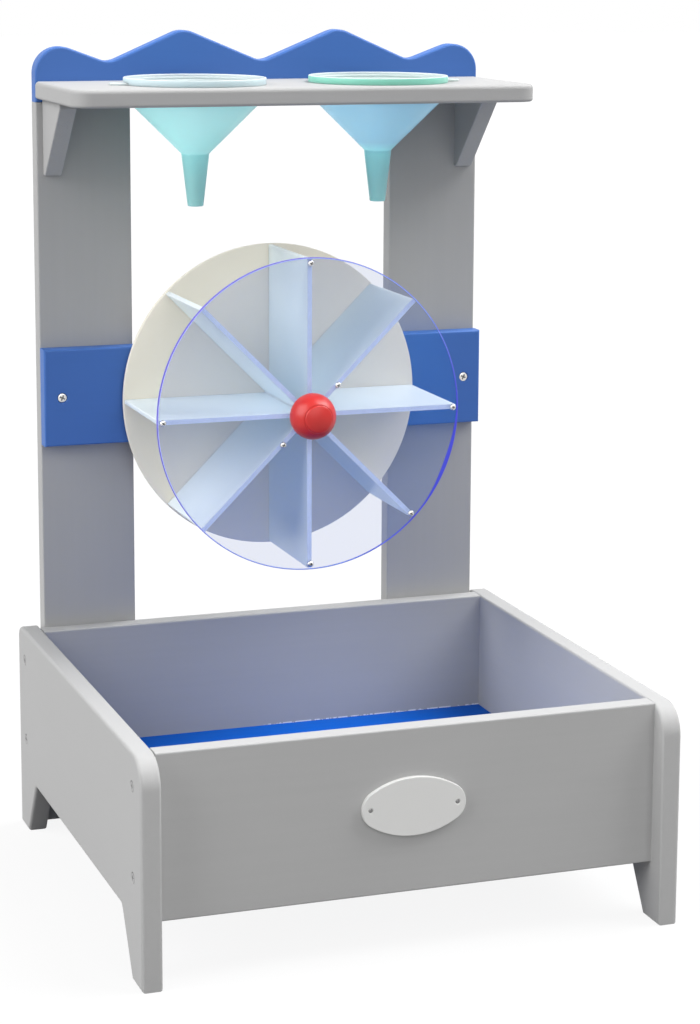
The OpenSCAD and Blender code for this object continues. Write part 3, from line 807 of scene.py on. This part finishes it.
def crest_board():
    low, high = box("crest")
    half = high.x
    valley_z, peak_z, end_z = (low.z + h for h in (CREST_VALLEY_H, CREST_PEAK_H, CREST_END_H))
    climb = [(half, end_z), (half * VALLEY_SHARE, valley_z), (half * PEAK_SHARE, peak_z)]
    corners = [(-half, low.z), (half, low.z), *climb, (0, valley_z)]
    corners += [(-x, z) for x, z in reversed(climb)]
    bends = [CREST_END_R, CREST_VALLEY_R, CREST_PEAK_R]
    radii = [0, 0, *bends, CREST_VALLEY_R, *reversed(bends)]
    make_board(
        "crest_board", "crest", "blue_paint", BLUE_X, rounded(corners, radii),
        high.y - low.y, CREST_FILLETS, facing_front(low.y),
        back_pits=seats("shelf_screws", (X, Z), low, high),
    )


# Wheel
AXLE_Z = 388
DISC_SEGMENTS = 256
CREAM_EDGE_R, CLEAR_EDGE_R = 0.8, 0.35
RIM_BAND = 0.5
TINT_W, TINT_EXTRA_W = 1.1, 2.8
TINT_ANGLE, TINT_REACH = math.radians(-20), math.radians(15)
HUB_R = 6.56
BLADE_FILLETS = (0.8, 0.8)
BLADES = 8


def about_axle(y):
    """Lathe whose axis is the axle."""
    return along_y(0, y, AXLE_Z)


def from_axle(v):
    """Distance of a vertex from the axle."""
    return math.hypot(v.co.x / MM, v.co.z / MM - AXLE_Z)


def disc_profile(node, edge_r, bands=()):
    """Section of a disc; the bands are extra circles on its front face."""
    low, high = box(node)
    depth = high.y - low.y
    front = [(HUB_R, 0), *((radius, 0) for radius in bands), (high.x, 0)]
    radii = [0] * (len(front) - 1) + [edge_r, edge_r, 0]
    return rounded([*front, (high.x, depth), (HUB_R, depth)], radii)


def cream_disc():
    bm = bmesh.new()
    place = about_axle(box("rear_disc")[0].y)
    add_lathe(bm, disc_profile("rear_disc", CREAM_EDGE_R), DISC_SEGMENTS, place)
    make_piece("cream_disc", bm, "wheel", ["rear_disc"], [CREAM_SHEET])


def tint_width(angle):
    """Width of the tinted band at a place around the rim."""
    away = (angle - TINT_ANGLE + math.pi) % (2 * math.pi) - math.pi
    return TINT_W + TINT_EXTRA_W * math.exp(-((away / TINT_REACH) ** 2))


def clear_disc():
    low, high = box("front_disc")
    bm = bmesh.new()
    profile = disc_profile("front_disc", CLEAR_EDGE_R, [high.x - TINT_W])
    rings = add_lathe(bm, profile, DISC_SEGMENTS, about_axle(low.y))
    inner, outer = rings[1], rings[2]
    for face in bm.faces:
        if min(map(from_axle, face.verts)) > high.x - RIM_BAND:
            face.material_index = SECOND
        elif set(face.verts) <= {*inner, *outer}:
            face.material_index = THIRD
    for v in inner:
        angle = math.atan2(v.co.z / MM - AXLE_Z, v.co.x / MM)
        radius = high.x - tint_width(angle)
        v.co = about_axle(low.y)(radius * math.cos(angle), radius * math.sin(angle), 0)
    materials = [CLEAR_SHEET, CLEAR_RIM, CLEAR_BAND]
    make_piece("clear_disc", bm, "wheel", ["front_disc"], materials)


def paddle(number):
    low, high = box("blade_1")
    half = (high.z - low.z) / 2
    angle = 2 * math.pi * (number - 1) / BLADES
    cos, sin = math.cos(angle), math.sin(angle)

    def place(u, v, w):
        lift = w - half
        return Vector((u * cos - lift * sin, v, AXLE_Z + u * sin + lift * cos)) * MM

    bm = bmesh.new()
    outline = rectangle(HUB_R, low.y, high.x, high.y)
    front_edge, back_edge, hub_edge = BOTTOM, TOP, LEFT
    add_board(bm, outline, 2 * half, BLADE_FILLETS, place, square=(front_edge, back_edge, hub_edge))
    for face in bm.faces:
        # The front edge faces get the blade edge material, lavender with a painted glow.
        if all(abs(v.co.y / MM - low.y) < SUPPORT / 2 for v in face.verts):
            face.material_index = SECOND
    materials = [WHITE_SHEET, BLADE_EDGES]
    make_piece(f"paddle_{number}", bm, "wheel", [f"blade_{number}"], materials)


# Screws with a cross recess: domed ones in the wheel and sunk ones in the crossbar
DOMED = {"radius": 2.8, "height": 2, "taper": 0, "shank_r": 1.2, "shank_l": 14, "arm": 1.6, "slot": 0.45}
SUNK = {"radius": 3.9, "height": 0.4, "taper": 2, "shank_r": 2, "shank_l": 24, "arm": 2.5, "slot": 0.65}
SUNK_BY = 0.5
HEAD_RINGS = 18
DOME_POWER = 4
SCREW_SEGMENTS = 72
RECESS_DEPTH = 0.9
RECESS_SLOPE = 0.2
RECESS_TURN = math.radians(25)


def recess(u, v, kind):
    """Share of a cross recess's depth at a place on the head."""
    cos, sin = math.cos(RECESS_TURN), math.sin(RECESS_TURN)
    along_arm, across = sorted((abs(u * cos - v * sin), abs(u * sin + v * cos)), reverse=True)
    walls = min(kind["arm"] - along_arm, kind["slot"] - across) / RECESS_SLOPE
    return max(0, min(walls, 1))


def screw_profile(kind):
    """Section of a screw from the top of its head to the end of its shank."""
    shares = [math.sin(math.pi / 2 * i / HEAD_RINGS) for i in range(1, HEAD_RINGS)]
    crown = [(kind["radius"] * s, kind["height"] * math.sqrt(1 - s**DOME_POWER)) for s in shares]
    shank_r, end = kind["shank_r"], -kind["shank_l"]
    shank = [(shank_r, -kind["taper"]), (shank_r, end), (0, end)]
    return [(0, kind["height"]), *crown, (kind["radius"], 0), *shank]


def screws(name, node, body, kind, face_y, outward):
    """Screw heads that stand on a plane across Y; outward is the way they face."""
    bm = bmesh.new()
    for middle in solids_of(node):
        def place(u, v, w):
            drop = RECESS_DEPTH * recess(u, v, kind) if w > 0 else 0
            return Vector((middle.x + u, face_y + outward * (w - drop), middle.z + v)) * MM

        done = set(bm.faces)
        add_lathe(bm, screw_profile(kind), SCREW_SEGMENTS, place, closed=False)
        # Faces of the cross recess get the dark steel: painted shade in the recess.
        for face in set(bm.faces) - done:
            offset = face.calc_center_median() / MM - middle
            if recess(offset.x, offset.z, kind) > 0:
                face.material_index = SECOND
    make_piece(name, bm, body, [node], [ZINC_METAL, DARK_METAL_AND_SHADE])


# Ball knob, axle head and washer, which stay still
BALL_STEPS, BALL_SEGMENTS = 40, 160
BALL_BACK = 3.5
BALL_EDGE, EDGE_RISE_SHARE = 0.8, 0.25
CAP_R, CAP_CURVE_R, CAP_EDGE_R = 12.3, 32, 2
GROOVE_W, GROOVE_DEPTH = 0.5, 0.6
GROOVE_FADE = (-0.6, 0.3)
HEX_SIDES = 6
HEX_FILLETS = (0.7, 0.7)
WASHER_EDGE = 0.5
WASHER_SEGMENTS = 96
AXLE_R = 5


def arc_section(radius, start, end, lift, out=0):
    """Points of a section through a ball or ring, from one angle off the front to another."""
    angles = [start + (end - start) * i / BALL_STEPS for i in range(BALL_STEPS + 1)]
    return [(out + radius * math.sin(a), lift - radius * math.cos(a)) for a in angles]


def ball():
    """Turned ball whose front is a flatter cap inside a groove that fades out below."""
    low, high = box("ball_knob")
    radius = (high.x - low.x) / 2
    groove_r = CAP_R + GROOVE_W
    groove_y = -math.sqrt(radius**2 - groove_r**2)
    last = math.acos(-BALL_BACK / radius)
    around = arc_section(radius, math.asin(groove_r / radius), last, 0)
    edge_r = CAP_R - CAP_EDGE_R
    inner_r = CAP_CURVE_R - CAP_EDGE_R
    turn = math.asin(edge_r / inner_r)
    cap = arc_section(CAP_CURVE_R, 0, turn, groove_y + inner_r * math.cos(turn))
    cap += arc_section(CAP_EDGE_R, turn, math.pi / 2, groove_y, edge_r)[1:]
    groove = [(CAP_R, groove_y + GROOVE_DEPTH), (groove_r, groove_y + GROOVE_DEPTH)]
    back = (around[-1][0] - BALL_EDGE, BALL_BACK + BALL_EDGE * EDGE_RISE_SHARE)
    bm = bmesh.new()
    profile = [*cap, *groove, *around, back, (0, back[1])]
    rings = add_lathe(bm, profile, BALL_SEGMENTS, about_axle(low.y + radius), closed=False)
    start, end = GROOVE_FADE
    for v in rings[len(cap)] + rings[len(cap) + 1]:
        height = (v.co.z / MM - AXLE_Z) / from_axle(v)
        share = max(0, min(1, (height - start) / (end - start)))
        v.co.y -= GROOVE_DEPTH * (1 - share) * MM
    make_piece("knob_ball", bm, "frame", ["ball_knob"], [BALL_PAINT])


def axle_head():
    low, high = box("axle_bolt")
    washer_low, washer_high = box("back_washer")
    reach = (high.x - low.x) / 2
    hexagon = [p + Vector((0, AXLE_Z)) for p in circle((0, 0), reach, HEX_SIDES)]
    bm = bmesh.new()
    add_board(bm, hexagon, high.y - washer_high.y, HEX_FILLETS, facing_front(washer_high.y))
    shank = [(0, 0), (AXLE_R, 0), (AXLE_R, washer_high.y - low.y), (0, washer_high.y - low.y)]
    add_lathe(bm, shank, WASHER_SEGMENTS, about_axle(low.y), closed=False)
    make_piece("axle_head", bm, "frame", ["axle_bolt"], [STEEL_METAL])
    depth = washer_high.y - washer_low.y
    corners = [(AXLE_R, 0), (washer_high.x, 0), (washer_high.x, depth), (AXLE_R, depth)]
    bm = bmesh.new()
    outline = rounded(corners, [0, WASHER_EDGE, WASHER_EDGE, 0])
    add_lathe(bm, outline, WASHER_SEGMENTS, about_axle(washer_low.y))
    make_piece("axle_washer", bm, "frame", ["back_washer"], [ZINC_METAL])


# Funnels, from the inner step down to the spout and up the outside to the lip
RIM_R, LIP_R = 61, 59.4
FUNNEL_PROFILE = [
    (56.4, 1.2), (56.4, -13.5), (10.4, -59), (5.15, -104), (6.75, -104), (12, -59), (58, -13.5),
    (58, 0), (RIM_R, 0), (RIM_R, 6), (LIP_R, 6), (LIP_R, 3.6), (57.9, 3.6), (57.9, 1.2),
]
FUNNEL_RADII = [0.5, 5, 1.5, 0.5, 1, 1.5, 4, 0.3, 0.6, 0.7, 0.7, 0.4, 0.6, 0.4]
FUNNEL_SEGMENTS = 192
TAB_L, TAB_W, TAB_T = 14, 16, 2
TAB_HOLE_R = 3
TAB_FILLETS = (0.6, 0.6)
TAB_SEGMENTS = 40
INSIDE_LEAN = 0.3


def funnel(side, materials):
    shelf_low, shelf_high = box("shelf")
    sign = SIDES[side]
    middle = Vector((sign * FUNNEL_X, (shelf_low.y + shelf_high.y) / 2))
    top = shelf_high.z
    bm = bmesh.new()
    add_lathe(
        bm, rounded(FUNNEL_PROFILE, FUNNEL_RADII), FUNNEL_SEGMENTS,
        lambda u, v, w: Vector((middle.x + u, middle.y + v, top + w)) * MM,
    )
    shell = set(bm.faces)
    tab = rectangle(LIP_R, -TAB_W / 2, RIM_R + TAB_L, TAB_W / 2)
    round_r = TAB_W / 2 - SUPPORT
    hole = circle((RIM_R + TAB_L - TAB_W / 2, 0), TAB_HOLE_R, TAB_SEGMENTS, -1)
    add_board(
        bm, rounded(tab, [0, round_r, round_r, 0]), TAB_T, TAB_FILLETS,
        lambda u, v, w: Vector((middle.x + sign * u, middle.y + sign * v, top + w)) * MM,
        holes=[(hole, TAB_FILLETS)],
    )
    bmesh.ops.recalc_face_normals(bm, faces=bm.faces)
    # The tab and the faces that face up or inward get the darker copy, painted shade on the top-lit
    # insides.
    for face in bm.faces:
        inward = (middle - face.calc_center_median().xy / MM).normalized()
        if face not in shell or max(face.normal.z, face.normal.xy.dot(inward)) > INSIDE_LEAN:
            face.material_index = SECOND
    make_piece(f"{side}_funnel_shell", bm, f"{side}_funnel", [f"{side}_funnel"], materials)


# CAD nodes that stay, with their finishes
FINISHES = {
    FLOOR_PAINT: ["floor_panel"],
    GREY_Y: ["left_cleat", "right_cleat", "left_side_screws", "right_side_screws"],
    WHITE_SHEET: ["hub_tube"],
    ZINC_METAL: [
        "axle_nut", "knob_washer", "cleat_screws", "upright_screws", "bracket_screws", "shelf_screws",
    ],
    BEECH_WOOD: ["crest_dowels"],
}


def finish_nodes():
    for material, nodes in FINISHES.items():
        for node in nodes:
            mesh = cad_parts[node].data
            mesh.materials.clear()
            mesh.materials.append(material)


# Light and floor
FLOOR_SIZE = 40
FLOOR_BOUNCE = (0.22, 0.22, 0.22)
FLOOR_SEEN = (0.08, 0.08, 0.08)
FLOOR_GLOW = 0.9
WORLD_LIGHT, WORLD_SEEN = 0.1, 1
SUNS = [
    ("front_light", (0, -1, 0.55), 1.05, 50),
    ("left_light", (-1, 0, 0.62), 2.85, 55),
    ("right_light", (0.75, 0, 1), 4.4, 50),
]


def seen_directly(tree):
    """1 on rays that show the background: from the camera, off gloss or through glass."""
    path = add_node(tree, "ShaderNodeLightPath").outputs
    shown = calculate(tree, "MAXIMUM", path["Is Camera Ray"], path["Is Glossy Ray"])
    return calculate(tree, "MAXIMUM", shown, path["Is Transmission Ray"])


def lay_floor():
    """Pale floor, white where it is lit, with the object's shadow."""
    mesh = bpy.data.meshes.new("floor")
    half = FLOOR_SIZE / 2
    corners = [(-half, -half, 0), (half, -half, 0), (half, half, 0), (-half, half, 0)]
    mesh.from_pydata(corners, [], [(0, 1, 2, 3)])
    floor = bpy.data.objects.new("floor", mesh)
    bpy.context.scene.collection.objects.link(floor)
    material = bpy.data.materials.new("floor")
    material.use_nodes = True
    tree = material.node_tree
    shown = seen_directly(tree)
    shade = ramp(tree, shown, [(0, FLOOR_BOUNCE), (1, FLOOR_SEEN)])
    diffuse = add_node(tree, "ShaderNodeBsdfDiffuse", {"Color": shade})
    strength = calculate(tree, "MULTIPLY", shown, FLOOR_GLOW)
    glow = add_node(tree, "ShaderNodeEmission", {"Strength": strength})
    both = add_node(tree, "ShaderNodeAddShader")
    feed(tree, both.inputs[0], diffuse.outputs[0])
    feed(tree, both.inputs[1], glow.outputs[0])
    feed(tree, tree.nodes["Material Output"].inputs["Surface"], both.outputs[0])
    mesh.materials.append(material)


def light_scene():
    for name, way, strength, angle in SUNS:
        data = bpy.data.lights.new(name, "SUN")
        data.energy = strength
        data.angle = math.radians(angle)
        lamp = bpy.data.objects.new(name, data)
        lamp.rotation_mode = "QUATERNION"
        lamp.rotation_quaternion = Vector(way).to_track_quat("Z", "Y")
        bpy.context.scene.collection.objects.link(lamp)
    world = bpy.data.worlds.new("studio")
    world.use_nodes = True
    tree = world.node_tree
    strength = remap(tree, seen_directly(tree), WORLD_LIGHT, WORLD_SEEN, 0, 1)
    back = tree.nodes["Background"]
    back.inputs["Color"].default_value = (1, 1, 1, 1)
    feed(tree, back.inputs["Strength"], strength)
    bpy.context.scene.world = world
    bpy.context.scene.view_settings.view_transform = "Standard"


aim_camera()
light_scene()
lay_floor()
for side in SIDES:
    side_board(side)
    post(side)
    brace(side)
tray_board("front_board", "front_panel", GREY_X)
tray_board("back_board", "back_panel", GREY_FLECKED)
badge()
cross_rail()
shelf_board()
crest_board()
cream_disc()
clear_disc()
for number in range(1, BLADES + 1):
    paddle(number)
screws("front_screws", "front_disc_screws", "wheel", DOMED, box("front_disc")[0].y, -1)
screws("back_screws", "rear_disc_screws", "wheel", DOMED, box("rear_disc")[1].y, 1)
screws("rail_screws", "crossbar_screws", "frame", SUNK, box("crossbar")[0].y + SUNK_BY, -1)
ball()
axle_head()
funnel("left", [TURQUOISE_PLASTIC, TURQUOISE_INSIDE_SHADED])
funnel("right", [BLUE_PLASTIC, BLUE_INSIDE_SHADED])
finish_nodes()
